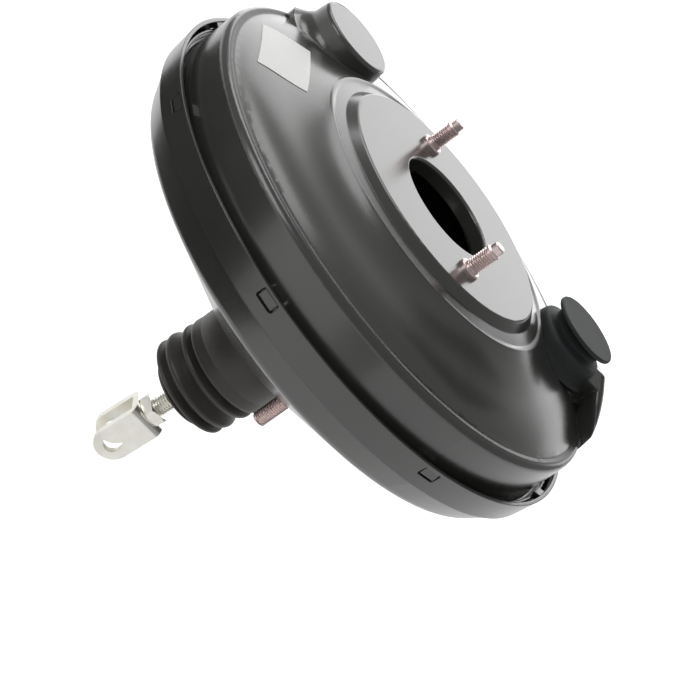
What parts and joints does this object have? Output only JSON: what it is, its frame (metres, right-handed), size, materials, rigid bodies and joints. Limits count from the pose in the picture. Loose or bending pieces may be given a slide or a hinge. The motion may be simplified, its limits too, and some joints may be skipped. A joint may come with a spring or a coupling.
{
  "type": "brake booster",
  "caption": "Round two-shell vacuum brake booster with tie rods, bellows boot, push rod clevis and a capped vacuum port.",
  "frame": {"origin": "centre of the rear face that seats on the bulkhead", "axes": "+Z along the booster's axis towards the master cylinder, +X through the two tie rods"},
  "size_m": [0.2778, 0.2778, 0.2416],
  "materials": {
    "black_painted_steel": "smooth semi-gloss black paint",
    "plated_stud_steel": "dull zinc plate",
    "bright_zinc": "bright zinc plate",
    "plain_steel": "bare pressed steel",
    "spring_steel": "oiled spring wire",
    "black_rubber": "matt rubber",
    "guide_plastic": "moulded",
    "valve_plastic": "moulded",
    "filter_foam": "open foam",
    "cap_plastic": "moulded, dark grey"
  },
  "bodies": {
    "booster_housing": {"rear_shell": "black_painted_steel", "front_shell": "black_painted_steel", "tie_rods": "plated_stud_steel", "rear_reinforcement_plate": "plain_steel", "front_reinforcement_plate": "plain_steel", "neck_guide": "guide_plastic", "neck_seal": "black_rubber", "dust_boot": "black_rubber", "vacuum_port_grommet": "black_rubber", "diaphragm": "black_rubber", "return_spring": "spring_steel"},
    "power_piston": {"valve_body": "valve_plastic", "diaphragm_plate": "plain_steel", "tie_rod_seals": "black_rubber", "stop_key": "plain_steel", "reaction_disc": "black_rubber", "output_rod": "bright_zinc", "output_rod_retainer": "plain_steel", "poppet_valve": "black_rubber", "poppet_retainer": "plain_steel", "poppet_spring": "spring_steel", "air_filter": "filter_foam", "rod_return_spring": "spring_steel"},
    "plunger": {"valve_plunger": "plated_stud_steel"},
    "push_rod": {"input_rod": "bright_zinc", "jam_nut": "bright_zinc", "clevis": "bright_zinc"},
    "vacuum_port_cap": {"port_cap": "cap_plastic"}
  },
  "joints": [
    {"name": "piston_stroke", "type": "slide", "parent": "booster_housing", "child": "power_piston", "axis": [0, 0, 1], "range_m": [0, 0.032], "stiffness_N_per_m": 1500, "springref_m": -0.03, "deforming": ["return_spring", "diaphragm", "dust_boot"]},
    {"name": "valve_travel", "type": "slide", "parent": "power_piston", "child": "plunger", "axis": [0, 0, 1], "range_m": [0, 0.0015], "stiffness_N_per_m": 4000, "springref_m": -0.004, "deforming": ["rod_return_spring", "dust_boot"]},
    {"name": "rod_tilt", "type": "hinge", "parent": "plunger", "child": "push_rod", "pos_m": [0, 0, -0.008], "axis": [0.9744, -0.225, 0], "range_deg": [0, 9], "stiffness_Nm_per_rad": 0.5, "deforming": ["rod_return_spring", "dust_boot"]},
    {"name": "cap_pull", "type": "slide", "parent": "booster_housing", "child": "vacuum_port_cap", "axis": [0, 0, 1], "range_m": [0, 0.03]}
  ]
}
